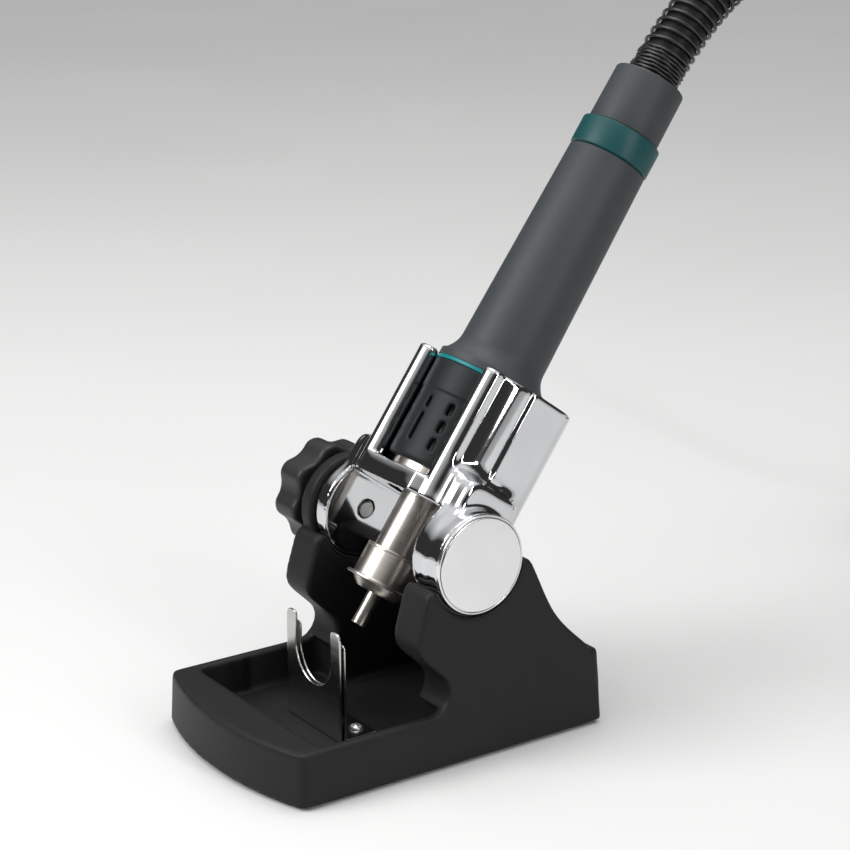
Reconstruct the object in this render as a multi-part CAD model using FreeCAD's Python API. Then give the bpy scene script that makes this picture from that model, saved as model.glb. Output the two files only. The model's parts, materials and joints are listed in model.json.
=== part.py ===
"""Hot air handpiece resting in a tilting cradle on a cast bench stand. Millimetres, +Z up.

The origin is the middle of the footprint, on the bench. The tray is at -Y, the hose at +Y and the
clamp knob at -X. Pieces that tilt are built upright about the handle's axis, with z = 0 at the
tilt pivot and -y at the front, and are then leaned back by lean().
"""
import FreeCAD, Part
import math
import os

V = FreeCAD.Vector

# --- driving dimensions -------------------------------------------------------------------------
# stand
baseWidth = 100.0
baseLength = 139.4
baseBow = 9.4           # how far the front face bulges past its corners
sideDraft = 2.8         # degrees, every outer wall leans in
rimHeight = 21.7
rimWall = 5.7
trayFloor = 6.0
trayFrontGap = 10.3     # rim between the front corners and the tray
padThick = 1.2
padInset = 3.0
cheekInner = 30.0       # inner face of each cheek, from the middle
cheekBack = 38.0        # front of the solid rear block between the cheeks
shoulderY, shoulderZ = 47.3, 48.5
rearTopY, rearTopZ = 65.1, 31.9
cheekTop = 71.2
cheekRearY, cheekRearZ = 35.6, 75.4
notchRadius = 8.6
noseUnderAngle = 43.9   # slope of the nose's underside, degrees
noseY, noseZ = -18.3, 48.4
noseTopY = -11.9
noseRound, noseTopRound = 4.0, 3.0
cheekRearRound, shoulderRound, rearTopRound = 2.5, 4.0, 3.0
rearBlockDepth, rearBlockDrop = 6.0, 0.5    # the step behind the shoulder
castingTop = 110.0      # above all that the side outline keeps
trayCorner, padCorner = 4.0, 6.0
bayFrontGap, bayOverlap = 10.0, 5.0         # how the cuts between the cheeks meet the tray

# pivot and cradle
pivotY, pivotZ = 11.0, 78.0
tilt = 54.7             # degrees above the bench
hubRadius = 19.5
nearHubGap = 1.2        # between the near cheek and the step of its hub
nearHubInner = cheekInner + nearHubGap
nearHubProud = 1.6      # of the near hub past the ear faces
neckThick = 7.7         # of the near neck, from the hub's inner face
earThick, earRadius = 7.6, 21.0
earInset = 4.0
earFace = baseWidth / 2 - earInset          # the ear's outer face, from the middle
earFootInset = 1.2
spotFaceGap = 0.6       # round the knob's washer
thrustThick, thrustGap = 0.5, 0.1
farHubGap = 0.5
farHubInner = cheekInner + farHubGap
nearHubOuter = earFace + nearHubProud
farHubOuter = earFace - earThick - thrustThick - thrustGap
saddleGap = 0.35        # between a hub and its liner
linerThick = 0.9
linerFit = 0.05         # between a liner and its saddle
linerEnds = (0.4, 0.6, 0.1, 0.2)            # near hub side, near face, far ear side, far hub side
linerDrop = 1.5         # from the cheek's top to the liner's
channelTop = 68.0
ledgeBottom, ledgeTop = 12.0, 20.2
channelRadius = 23.2
channelOuter = 29.5
lipX, lipForward, lipRadius = 21.2, 16.7, 4.4
boxHalf, boxFront, boxBack, boxCorner = 30.5, -1.5, 26.5, 12.0
boxClear = 31.0         # the box is cut back to this radius about the pivot
ledgeBore = 15.2
neckFront, neckBack, neckTop = 17.0, 18.0, 34.0
neckHubAngle = 42.0     # where the neck leaves the hub at the back
neckFrontStart, neckBackStart = 20.4, 23.8  # where the neck is at its full width
gussetInner = 20.0
gussetGap = 0.5         # between a gusset and the cheek beside it
gussetOuter = cheekInner - gussetGap
capRadius, capThick = 18.4, 1.2
capFit, capProud = 0.05, 0.4
magnetRadius, magnetDepth, magnetStation = 4.0, 3.0, 56.0
magnetSink, magnetFit = 0.9, 0.05           # below the bore's face, and round the magnet

# clamp knob
studRadius = 3.0
runGap = 0.06
washerRadius, washerThick = 8.5, 1.5
knobRadius, knobScallops, scallopRadius = 22.4, 8, 9.0
scallopReach = 6.48     # from the knob's rim out to a scallop's centre
knobWall, washerGap = 3.0, 0.1              # beyond the stud, and between knob and washer
bossLength, knobLength = 2.0, 15.0
knobInner = earFace + washerThick + washerGap + bossLength
knobOuter = knobInner + knobLength
studNose = 0.8          # the stud stops short of the far hub's inner face
thrustInset = 3.0       # of the thrust washer's rim from the hub's

# handpiece, stations measured along the axis from the pivot
noseRadius, noseStepRadius = 21.9, 22.4
noseBottom, noseStep, noseTop = 23.6, 52.6, 65.0
noseBore, noseThroat = 19.9, 18.2
heaterSeat = 59.8
accentTop, accentRadius, accentGap = 66.5, 22.45, 0.3
flangeTop, flangeRadius = 69.8, 22.6
gripStart, gripStartRadius = 78.5, 17.9
gripEnd, gripEndRadius = 165.6, 16.35
gripBore = 14.6
ringEnd, ringRadius, ringBore = 177.6, 16.75, 13.6
sleeveEnd, sleeveRadius, sleeveEndRadius, sleeveBore = 202.0, 15.0, 14.75, 11.9
spigotRadius = 13.4
barrelRadius, barrelWall, barrelEnd = 9.4, 0.7, -22.0
airTubeRadius, airTubeWall, airTubeEnd = 7.5, 1.2, 190.0
coreRadius, coreEnd = 6.4, 52.0
micaThick, micaGap = 0.35, 0.05
micaLow, micaPast = -4.0, 4.0               # below the pivot, and past the core's end
noseFloor, noseMouth, noseChamfer, noseStepRise = 2.2, 1.2, 1.5, 0.5
socketWall, socketDepth, socketSeat = 0.1, 3.2, 2.5     # where the nose meets the grip
throatGap = 0.3
mouthRingGap, mouthRingLift, mouthRingInset = 0.4, 0.1, 3.4
ventColumns = 12
ventLong = [(30.5, 12.0, 2.0), (44.5, 5.0, 2.0)]        # start, length and width of each slot
ventShort = [(29.5, 5.0, 3.4), (37.0, 5.0, 3.4), (44.5, 5.0, 3.4)]
ventRounding, ventReach = 0.46, 3.0
flangeChamfer, flareIn, flareRise = 0.9, 1.1, 3.4
gripCounterbore = 4.0
sleeveSink, sleeveChamfer = 6.0, 1.2
seatThick, seatFit = 1.3, 0.05              # the heater tube's rim under the air tube
coreRim, coreHoles, coreHoleRadius, coreHoleCircle = 3.0, 6, 1.2, 4.4
tubeFlangeFit, tubeFlangeThick = 0.15, 1.6
tubeCentring = (140.0, 143.0)
boardHalf, boardLift, boardThick, boardEnds = 5.5, 0.7, 1.2, (82.0, 124.0)
reedRadius, reedLength, reedStart, reedLift = 1.1, 14.0, 86.0, 3.0
ferruleFit, ferruleLength, ferruleDrop = 0.15, 9.0, 0.3

# nozzle
collarRadius, collarTop, collarBottom = 11.8, -10.5, -28.0
flangeDiscRadius, flangeDiscTop, flangeDiscThick = 14.0, -23.6, 1.2
tipRadius, tipWall, tipEnd = 2.95, 0.55, -41.5
collarBore, collarFloor = 8.0, 1.6
collarFoot, collarFootRise, collarWaist, collarChamfer = 2.4, 1.4, 0.4, 0.5
grooveTop, grooveWidth, grooveDepth = 3.2, 1.2, 0.9     # for the spring that grips the tube
barrelStop = 0.3
tipFit, tipSeat, tipFlange, tipFlangeThick = 0.02, 0.05, 2.5, 0.8
gripSpringWall, gripSpringFit, gripSpringGap = 0.75, 0.05, 4.0

# nozzle fork
forkY, forkSheet, forkGap = -33.8, 1.0, 1.0
forkHalf, forkTop, forkRearTop = 19.0, 50.5, 45.5
forkNotch, forkNotchZ = 12.3, 36.8
forkFoot = 15.0
forkEar, forkRearEar = 3.0, 2.0             # rounding of the plates' top corners
screwX, screwRadius, screwDepth, screwHoleGap = 11.4, 1.5, 4.0, 0.2
screwPlace = 9.0        # from the rear plate back to the screws
screwHeadRadius, screwHeadHeight = 2.9, 1.8
driveHalf, driveWidth, driveDepth = 2.2, 0.7, 0.8
spacerX, spacerRadius, spacerRise = 13.1, 2.2, 6.0

# hose
hoseRadius = 9.3
springRadius, springGap, springLength = 11.3, 0.4, 185.0
springStart = 1.4       # the guard starts this far up the air tube beyond its end
hosePoints = [
    (0, 120.8, 233.1), (0, 149.7, 273.9), (1.5, 197, 296), (1, 249, 299), (-9, 297.5, 272),
    (-30.5, 329, 213), (-41.5, 316.5, 140), (-48.5, 318.5, 72), (-52.5, 344.5, 31),
    (-55.5, 387, hoseRadius), (-52, 430, hoseRadius),
]
coilArcs = [(92.0, 48.0), (88.0, 108.0), (88.0, 37.0), (75.0, 107.0)]   # radius and degrees
connectorRadius, connectorLength = 11.0, 28.0
connectorWall, connectorLift = 1.6, 1.0
bootLength, bootStraight, bootGap, bootTaper, bootRelief = 20.0, 6.0, 0.05, 1.5, 0.3
shellStart, plugThick = 4.0, 6.0
nutFit, nutStart, nutEndGap = 0.03, 12.0, 6.0
pinCount, pinRadius, pinLength, pinCircle, pinStart = 7, 0.8, 12.0, 5.6, 6.0

os.makedirs("parts", exist_ok=True)
nodes = {}


# --- helpers ------------------------------------------------------------------------------------
def save(name, shape):
    """Keep one node, as one shape of separate solids."""
    solids = shape.Solids
    nodes[name] = solids[0] if len(solids) == 1 else Part.makeCompound(solids)
    nodes[name].exportStep("parts/" + name + ".step")


def lean(shape):
    """Put an upright piece where the handle stands: its z along the axis, 0 at the pivot."""
    moved = shape.copy()
    moved.rotate(V(0, 0, 0), V(1, 0, 0), tilt - 90)
    moved.translate(V(0, pivotY, pivotZ))
    return moved


def turned(outline):
    """A solid turned about z from (radius, z) points, the first and last on or off the axis."""
    points = [V(r, 0, z) for r, z in outline]
    return Part.Face(Part.makePolygon(points + points[:1])).revolve(V(0, 0, 0), V(0, 0, 1), 360)


def tube(outer, inner, low, high):
    body = Part.makeCylinder(outer, high - low, V(0, 0, low))
    return body.cut(Part.makeCylinder(inner, high - low + 2, V(0, 0, low - 1)))


def rod(radius, fromX, toX, y=0.0, z=0.0):
    """A cylinder along X between two places."""
    return Part.makeCylinder(radius, abs(toX - fromX), V(min(fromX, toX), y, z), V(1, 0, 0))


def block(x0, x1, y0, y1, z0, z1):
    return Part.makeBox(x1 - x0, y1 - y0, z1 - z0, V(x0, y0, z0))


def rounded(points, radii):
    """A closed wire through the points, each corner rounded by its radius."""
    edges, ends = [], []
    count = len(points)
    for i in range(count):
        before, here, after = points[i - 1], points[i], points[(i + 1) % count]
        r = radii[i]
        if r == 0:
            ends.append((here, here))
            continue
        a, b = (before - here).normalize(), (after - here).normalize()
        half = a.getAngle(b) / 2
        reach = r / math.tan(half)
        middle = here + (a + b).normalize() * (r / math.sin(half) - r)
        edges.append(Part.Arc(here + a * reach, middle, here + b * reach).toShape())
        ends.append((here + a * reach, here + b * reach))
    for i in range(count):
        start, end = ends[i][1], ends[(i + 1) % count][0]
        if (end - start).Length > 1e-6:
            edges.append(Part.LineSegment(start, end).toShape())
    return Part.Wire(Part.__sortEdges__(edges))


def prism(points, radii, along):
    return Part.Face(rounded(points, radii)).extrude(along)


# --- stand --------------------------------------------------------------------------------------
def footprint(z, inset):
    """The stand's outline at a height: a bowed front and three straight sides."""
    half, back = baseWidth / 2 - inset, baseLength / 2 - inset
    bow = -baseLength / 2 - baseBow + inset
    front = Part.Arc(V(-half, -back, z), V(0, bow, z), V(half, -back, z)).toShape()
    corners = [V(half, -back, z), V(half, back, z), V(-half, back, z), V(-half, -back, z)]
    sides = [Part.LineSegment(a, b).toShape() for a, b in zip(corners, corners[1:])]
    return Part.Wire([front] + sides)


def noseUnderside():
    """Where the underside of the cheek's nose would meet the rim, were it not rounded there."""
    return noseY + (noseZ - rimHeight) / math.tan(math.radians(noseUnderAngle))


def notchBack():
    """The rearmost place of the rounded notch between the nose and the rim."""
    half = math.radians(noseUnderAngle) / 2
    return noseUnderside() - notchRadius / math.tan(half) + notchRadius


def cheekOutline():
    """The stand seen from the side, from the front of the tray round to the back, with radii."""
    far = baseLength
    corners = [
        (-far, 0, 0), (-far, rimHeight, 0), (noseUnderside(), rimHeight, notchRadius),
        (noseY, noseZ, noseRound), (noseTopY, cheekTop, noseTopRound), (pivotY, cheekTop, 0),
        (pivotY, cheekRearZ, 0), (cheekRearY, cheekRearZ, cheekRearRound),
        (shoulderY, shoulderZ, shoulderRound), (rearTopY, rearTopZ, rearTopRound),
        (rearTopY, rimHeight, 0), (far, rimHeight, 0), (far, 0, 0),
    ]
    return [V(-baseWidth, y, z) for y, z, r in corners], [r for y, z, r in corners]


def standCasting():
    shrink = math.tan(math.radians(sideDraft))
    shell = Part.makeLoft([footprint(z, z * shrink) for z in (padThick, castingTop)], True, True)
    outline, radii = cheekOutline()
    side = prism(outline, radii, V(2 * baseWidth, 0, 0))
    rear = block(-baseWidth, baseWidth, rearTopY - rearBlockDepth, baseLength, 0,
                 rearTopZ - rearBlockDrop)
    side = side.fuse(rear)
    body = shell.common(side)
    # ear behind the clamped hub
    ear = rod(earRadius, -baseWidth, -earFace + earThick, pivotY, pivotZ)
    earFootHalf = earRadius - earFootInset
    earFoot = block(-baseWidth, -earFace + earThick, pivotY - earFootHalf, pivotY + earFootHalf,
                    shoulderZ, pivotZ)
    body = body.fuse(ear.fuse(earFoot).common(shell))
    # tray and the bay between the cheeks
    trayHalf = baseWidth / 2 - rimWall
    trayFront = -baseLength / 2 + trayFrontGap
    trayBack = notchBack()
    tray = prism(
        [V(-trayHalf, trayFront, trayFloor), V(trayHalf, trayFront, trayFloor),
         V(trayHalf, trayBack, trayFloor), V(-trayHalf, trayBack, trayFloor)],
        [trayCorner] * 4, V(0, 0, rimHeight - trayFloor + 1))
    bay = block(-cheekInner, cheekInner, trayFront + bayFrontGap, cheekBack, trayFloor, castingTop)
    behind = block(-cheekInner, cheekInner, cheekBack - bayOverlap, baseLength, shoulderZ, castingTop)
    body = body.cut(tray).cut(bay).cut(behind)
    # saddles for the hubs, with their liners' room
    seat = hubRadius + saddleGap + linerThick
    body = body.cut(rod(seat, cheekInner - 1, baseWidth, pivotY, pivotZ))
    body = body.cut(rod(seat, -earFace + earThick, -cheekInner + 1, pivotY, pivotZ))
    # knob side: spot face and stud hole
    body = body.cut(rod(washerRadius + spotFaceGap, -baseWidth, -earFace, pivotY, pivotZ))
    body = body.cut(rod(studRadius + runGap, -baseWidth, 0, pivotY, pivotZ))
    for x in (-screwX, screwX):
        body = body.cut(Part.makeCylinder(screwRadius, screwDepth, V(x, screwY(), trayFloor - screwDepth)))
    return body.removeSplitter()


def screwY():
    return forkY + 2 * forkSheet + forkGap + screwPlace


def saddleLiner(x0, x1):
    """A half ring between a hub and its saddle."""
    outer = hubRadius + saddleGap + linerThick - linerFit
    ring = rod(outer, x0, x1, pivotY, pivotZ).cut(
        rod(hubRadius + saddleGap, x0 - 1, x1 + 1, pivotY, pivotZ))
    keep = block(x0, x1, pivotY - outer, pivotY + outer, 0, cheekTop - linerDrop)
    return ring.common(keep)


def forkPlate(y, top, ear):
    """One steel sheet across X with a round-bottomed notch between two ears."""
    z0 = trayFloor
    points = [V(-forkHalf, y, z0), V(forkHalf, y, z0), V(forkHalf, y, top), V(-forkHalf, y, top)]
    plate = prism(points, [0, 0, ear, ear], V(0, forkSheet, 0))
    notch = Part.makeCylinder(forkNotch, 4 * forkSheet, V(0, y - forkSheet, forkNotchZ), V(0, 1, 0))
    slot = block(-forkNotch, forkNotch, y - forkSheet, y + 3 * forkSheet, forkNotchZ, top + 5)
    return plate.cut(notch).cut(slot)


def makeStand():
    save("base_casting", standCasting())
    half, back = baseWidth / 2 - padInset, baseLength / 2 - padInset
    pad = prism([V(-half, -back, 0), V(half, -back, 0), V(half, back, 0), V(-half, back, 0)],
                [padCorner] * 4, V(0, 0, padThick))
    save("base_pad", pad)
    nearIn, nearOut, farOut, farIn = linerEnds
    inner = -earFace + earThick
    save("near_saddle_liner", saddleLiner(nearHubInner + nearIn, earFace - nearOut))
    save("far_saddle_liner", saddleLiner(inner + farOut, -farHubInner - farIn))
    makeFork()


def makeFork():
    save("fork_front_plate", forkPlate(forkY, forkTop, forkEar))
    rearY = forkY + forkSheet + forkGap
    rear = forkPlate(rearY, forkRearTop, forkRearEar)
    foot = block(-forkHalf, forkHalf, rearY, rearY + forkFoot, trayFloor, trayFloor + forkSheet)
    top = trayFloor + forkSheet
    slotFloor = top + screwHeadHeight - driveDepth
    narrow = driveWidth / 2
    screws, spacers = [], []
    for x in (-screwX, screwX):
        foot = foot.cut(Part.makeCylinder(screwRadius + screwHoleGap, 3 * forkSheet,
                                          V(x, screwY(), trayFloor - forkSheet)))
        shank = Part.makeCylinder(screwRadius, screwDepth + forkSheet,
                                  V(x, screwY(), trayFloor - screwDepth))
        head = Part.makeCylinder(screwHeadRadius, screwHeadHeight, V(x, screwY(), top))
        drive = block(x - driveHalf, x + driveHalf, screwY() - narrow, screwY() + narrow,
                      slotFloor, slotFloor + screwHeadHeight)
        cross = block(x - narrow, x + narrow, screwY() - driveHalf, screwY() + driveHalf,
                      slotFloor, slotFloor + screwHeadHeight)
        screws.append(shank.fuse(head).cut(drive).cut(cross))
        at = V(math.copysign(spacerX, x), forkY + forkSheet, trayFloor + spacerRise)
        spacers.append(Part.makeCylinder(spacerRadius, forkGap, at, V(0, 1, 0)))
    save("fork_rear_plate", rear.fuse(foot).removeSplitter())
    save("fork_screws", Part.makeCompound(screws))
    save("fork_spacers", Part.makeCompound(spacers))


# --- cradle, upright about the handle's axis ----------------------------------------------------
def channelSection(z0, height):
    """The C-shaped wall with its two rounded lips and the square back."""
    ring = Part.makeCylinder(channelOuter, height, V(0, 0, z0))
    for side in (-1, 1):
        ring = ring.fuse(Part.makeCylinder(lipRadius, height, V(side * lipX, -lipForward, z0)))
    corners = [V(-boxHalf, boxFront, z0), V(boxHalf, boxFront, z0), V(boxHalf, boxBack, z0),
               V(-boxHalf, boxBack, z0)]
    back = prism(corners, [0, 0, boxCorner, boxCorner], V(0, 0, height))
    pivotRound = rod(boxClear, -2 * boxHalf, 2 * boxHalf)
    ring = ring.fuse(back.cut(pivotRound))
    # the mouth between the lips
    mouth = prism([V(0, 0, z0 - 1), V(-lipX * 3, -lipForward * 3, z0 - 1),
                   V(lipX * 3, -lipForward * 3, z0 - 1)], [0, 0, 0], V(0, 0, height + 2))
    for side in (-1, 1):
        mouth = mouth.cut(Part.makeCylinder(lipRadius, height + 2,
                                            V(side * lipX, -lipForward, z0 - 1)))
    return ring.cut(mouth)


def neckPlate(x0, x1):
    """Joins a hub to the channel: narrow at the hub, as wide as the wall above."""
    a = math.radians(neckHubAngle)
    points = [V(0, -hubRadius, 0), V(0, -neckFront, neckFrontStart), V(0, -neckFront, neckTop),
              V(0, neckBack, neckTop), V(0, neckBack, neckBackStart),
              V(0, hubRadius * math.sin(a), hubRadius * math.cos(a)), V(0, 0, 0)]
    plate = prism([p + V(x0, 0, 0) for p in points], [0] * 7, V(x1 - x0, 0, 0))
    return plate.fuse(rod(hubRadius, x0, x1))


def makeCradle():
    wall = channelSection(ledgeBottom, channelTop - ledgeBottom)
    bore = Part.makeCylinder(channelRadius, channelTop, V(0, 0, ledgeTop))
    ledge = Part.makeCylinder(channelOuter, ledgeTop - ledgeBottom, V(0, 0, ledgeBottom))
    body = wall.fuse(ledge)
    near = neckPlate(gussetOuter, nearHubInner + neckThick)
    near = near.fuse(rod(hubRadius, nearHubInner, nearHubOuter))
    far = neckPlate(-farHubOuter, -gussetOuter)
    body = body.fuse(near).fuse(far)
    # fill the corner between ring and necks, inside the cheeks so that it swings past them
    for side in (-1, 1):
        ends = sorted((side * gussetInner, side * gussetOuter))
        body = body.fuse(block(ends[0], ends[1], -neckFront, neckBack, ledgeBottom, neckTop))
    body = body.cut(bore).cut(Part.makeCylinder(ledgeBore, channelTop))
    # keep clear below the ledge, between the hubs
    body = body.cut(block(-farHubInner, farHubInner, -baseLength / 2, baseLength / 2,
                          ledgeBottom - channelTop, ledgeBottom))
    # knob stud, cap recess and magnet pocket
    body = body.cut(rod(studRadius + runGap, -baseWidth / 2, 0))
    body = body.cut(rod(capRadius + capFit, nearHubOuter - capThick, nearHubOuter + 1))
    corner = math.atan2(boxBack - boxCorner, boxHalf - boxCorner)
    out = V(math.cos(corner), math.sin(corner), 0)
    start = out * (channelRadius - magnetDepth) + V(0, 0, magnetStation)
    pocket = 2 * magnetDepth + 1
    body = body.cut(Part.makeCylinder(magnetRadius + magnetFit, pocket, start, out))
    save("cradle_casting", lean(body.removeSplitter()))
    save("hub_cap", lean(rod(capRadius, nearHubOuter - capThick, nearHubOuter + capProud)))
    seat = out * (channelRadius + magnetSink) + V(0, 0, magnetStation)
    save("rest_magnet", lean(Part.makeCylinder(magnetRadius, magnetDepth - magnetSink, seat, out)))


# --- clamp knob ---------------------------------------------------------------------------------
def makeKnob():
    disc = rod(knobRadius, -knobOuter, -knobInner)
    reach = knobRadius + scallopReach
    for i in range(knobScallops):
        a = 2 * math.pi * (i + 0.5) / knobScallops
        disc = disc.cut(rod(scallopRadius, -knobOuter - 1, -knobInner + 1,
                            reach * math.cos(a), reach * math.sin(a)))
    boss = rod(washerRadius, -knobInner - 1, -earFace - washerThick - washerGap)
    bore = rod(studRadius, -knobOuter + knobWall, -earFace)
    knob = disc.fuse(boss).cut(bore).removeSplitter()
    save("clamp_knob", lean(knob))
    stud = rod(studRadius, -knobOuter + knobWall, -farHubInner + studNose)
    save("knob_stud", lean(stud))
    washer = rod(washerRadius, -earFace - washerThick, -earFace).cut(
        rod(studRadius + runGap, -knobOuter, 0))
    save("knob_washer", lean(washer))
    inner = -earFace + earThick
    thrust = rod(hubRadius - thrustInset, inner, inner + thrustThick).cut(
        rod(studRadius + runGap, -knobOuter, 0))
    save("thrust_washer", lean(thrust))


# --- handpiece ----------------------------------------------------------------------------------
def ventCutters():
    """Long and short slots through the nose, in columns all round."""
    cutters = []
    start = noseThroat - ventReach
    for i in range(ventColumns):
        angle = 360.0 * i / ventColumns
        for z, length, width in ventLong if i % 2 else ventShort:
            half = width / 2
            slot = prism([V(start, -half, z), V(start, half, z), V(start, half, z + length),
                          V(start, -half, z + length)],
                         [width * ventRounding] * 4, V(noseStepRadius, 0, 0))
            slot.rotate(V(0, 0, 0), V(0, 0, 1), angle)
            cutters.append(slot)
    return cutters


def makeNose():
    mouth, socket = barrelRadius + noseMouth, noseBore + socketWall
    shell = turned([
        (mouth, noseBottom), (noseRadius - noseChamfer, noseBottom),
        (noseRadius, noseBottom + noseChamfer), (noseRadius, noseStep),
        (noseStepRadius, noseStep + noseStepRise), (noseStepRadius, noseTop), (socket, noseTop),
        (socket, noseTop + socketDepth), (noseThroat + throatGap, noseTop + socketDepth),
        (noseThroat + throatGap, heaterSeat + socketSeat), (noseBore, heaterSeat + socketSeat),
        (noseBore, heaterSeat), (noseThroat, heaterSeat), (noseThroat, noseBottom + noseFloor),
        (mouth, noseBottom + noseFloor)])
    for cutter in ventCutters():
        shell = shell.cut(cutter)
    save("nose_shell", lean(shell))
    ring = tube(noseRadius - mouthRingInset, barrelRadius + mouthRingGap, ledgeTop + mouthRingLift,
                noseBottom)
    save("nose_ring", lean(ring))
    save("accent_ring", lean(tube(accentRadius, noseBore + accentGap, noseTop, accentTop)))


def makeGrip():
    rim, bore = flangeRadius - flangeChamfer, noseBore + accentGap
    floor = noseTop + gripCounterbore
    flare = Part.Arc(V(rim, 0, flangeTop), V(gripStartRadius + flareIn, 0, flangeTop + flareRise),
                     V(gripStartRadius, 0, gripStart)).toShape()
    points = [V(gripStartRadius, 0, gripStart), V(gripEndRadius, 0, gripEnd), V(gripBore, 0, gripEnd),
              V(gripBore, 0, floor), V(bore, 0, floor), V(bore, 0, accentTop),
              V(flangeRadius, 0, accentTop), V(flangeRadius, 0, flangeTop - flangeChamfer),
              V(rim, 0, flangeTop)]
    straights = [Part.LineSegment(a, b).toShape() for a, b in zip(points, points[1:])]
    wire = Part.Wire([flare] + straights)
    save("grip_shell", lean(Part.Face(wire).revolve(V(0, 0, 0), V(0, 0, 1), 360)))
    save("rear_ring", lean(tube(ringRadius, ringBore, gripEnd, ringEnd)))
    sleeve = turned([
        (sleeveBore, gripEnd - sleeveSink), (spigotRadius, gripEnd - sleeveSink),
        (spigotRadius, ringEnd), (sleeveRadius, ringEnd),
        (sleeveEndRadius, sleeveEnd - sleeveChamfer), (sleeveEndRadius - sleeveChamfer, sleeveEnd),
        (sleeveBore, sleeveEnd)])
    save("end_sleeve", lean(sleeve))


def makeHeater():
    inner = barrelRadius - barrelWall
    barrel = turned([
        (inner, barrelEnd), (barrelRadius, barrelEnd), (barrelRadius, heaterSeat + seatFit),
        (noseBore - socketWall, heaterSeat + seatFit),
        (noseBore - socketWall, heaterSeat + seatThick), (inner, heaterSeat + seatThick)])
    save("heater_barrel", lean(barrel))
    mica = inner - micaGap
    save("mica_sleeve", lean(tube(mica, mica - micaThick, micaLow, coreEnd + micaPast)))
    disc = mica - micaThick - micaGap
    core = turned([
        (0, 0), (disc, 0), (disc, coreRim), (coreRadius, coreRim), (coreRadius, coreEnd - coreRim),
        (disc, coreEnd - coreRim), (disc, coreEnd), (0, coreEnd)])
    for i in range(coreHoles):
        a = 2 * math.pi * i / coreHoles
        at = V(coreHoleCircle * math.cos(a), coreHoleCircle * math.sin(a), -1)
        core = core.cut(Part.makeCylinder(coreHoleRadius, coreEnd + 2, at))
    save("heater_core", lean(core))
    makeAirTube()


def makeAirTube():
    """The tube that brings the air, what is fixed on it, and the ferrule that holds the hose."""
    seat = heaterSeat + seatThick + seatFit
    bore = airTubeRadius - airTubeWall
    flange = gripBore - tubeFlangeFit
    low, high = tubeCentring
    tubeWall = turned([
        (bore, seat), (flange, seat), (flange, seat + tubeFlangeThick),
        (airTubeRadius, seat + tubeFlangeThick), (airTubeRadius, low), (flange, low), (flange, high),
        (airTubeRadius, high), (airTubeRadius, airTubeEnd), (bore, airTubeEnd)])
    save("air_tube", lean(tubeWall))
    under = airTubeRadius + boardLift
    save("switch_board", lean(block(-boardHalf, boardHalf, under, under + boardThick, *boardEnds)))
    at = V(0, airTubeRadius + reedLift, reedStart)
    save("reed_switch", lean(Part.makeCylinder(reedRadius, reedLength, at)))
    ferrule = tube(sleeveBore - ferruleFit, airTubeRadius + ferruleFit, airTubeEnd - ferruleLength,
                   airTubeEnd - ferruleDrop)
    save("hose_ferrule", lean(ferrule))


def makeNozzle():
    bore, stop = barrelRadius + runGap, barrelEnd - barrelStop
    floor = collarBottom + collarFloor
    waist, under = collarRadius - collarWaist, flangeDiscTop - flangeDiscThick
    high, low = collarTop - grooveTop, collarTop - grooveTop - grooveWidth
    collar = turned([
        (tipRadius + tipFit, collarBottom), (collarRadius - collarFoot, collarBottom),
        (waist, collarBottom + collarFootRise), (waist, under), (flangeDiscRadius, under),
        (flangeDiscRadius, flangeDiscTop), (collarRadius, flangeDiscTop),
        (collarRadius, collarTop - collarChamfer), (collarRadius - collarChamfer, collarTop),
        (bore, collarTop), (bore, high), (bore + grooveDepth, high), (bore + grooveDepth, low),
        (bore, low), (bore, stop), (collarBore, stop), (collarBore, floor),
        (tipRadius + tipFit, floor)])
    save("nozzle_collar", lean(collar))
    hole, seat = tipRadius - tipWall, floor + tipSeat
    tip = turned([
        (hole, tipEnd), (tipRadius, tipEnd), (tipRadius, seat), (tipRadius + tipFlange, seat),
        (tipRadius + tipFlange, floor + tipFlangeThick), (hole, floor + tipFlangeThick)])
    save("nozzle_tip", lean(tip))
    inner = bore + gripSpringFit
    grip = tube(inner + gripSpringWall, inner, low + 2 * gripSpringFit, high - 2 * gripSpringFit)
    opening = block(-gripSpringGap / 2, gripSpringGap / 2, -collarRadius, 0, low, high)
    save("nozzle_spring", lean(grip.cut(opening)))


# --- hose ---------------------------------------------------------------------------------------
def smoothPath(points):
    """Straight runs joined by tangent arcs, each as large as its runs allow."""
    edges, at = [], points[0]
    for before, here, after in zip(points, points[1:], points[2:]):
        a, b = (before - here), (after - here)
        shorter = min(a.Length, b.Length)
        a.normalize()
        b.normalize()
        half = a.getAngle(b) / 2
        radius = 0.45 * shorter * math.tan(half)
        reach = 0.45 * shorter
        middle = here + (a + b).normalize() * (radius / math.sin(half) - radius)
        start, end = here + a * reach, here + b * reach
        edges.append(Part.LineSegment(at, start).toShape())
        edges.append(Part.Arc(start, middle, end).toShape())
        at = end
        print("hose bend at", [round(c) for c in here], "radius", round(radius, 1))
    edges.append(Part.LineSegment(at, points[-1]).toShape())
    return edges


def sweep(edges, radius):
    """A round bar along joined edges, checked against its section times its length."""
    wire = Part.Wire(edges)
    start = edges[0].Vertexes[0].Point
    way = edges[0].tangentAt(edges[0].FirstParameter)
    section = Part.Wire(Part.makeCircle(radius, start, way))
    bar = wire.makePipeShell([section], True, True)
    expected = math.pi * radius ** 2 * wire.Length
    print("swept", round(wire.Length, 1), "mm long, volume ratio", round(bar.Volume / expected, 4))
    return bar


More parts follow.
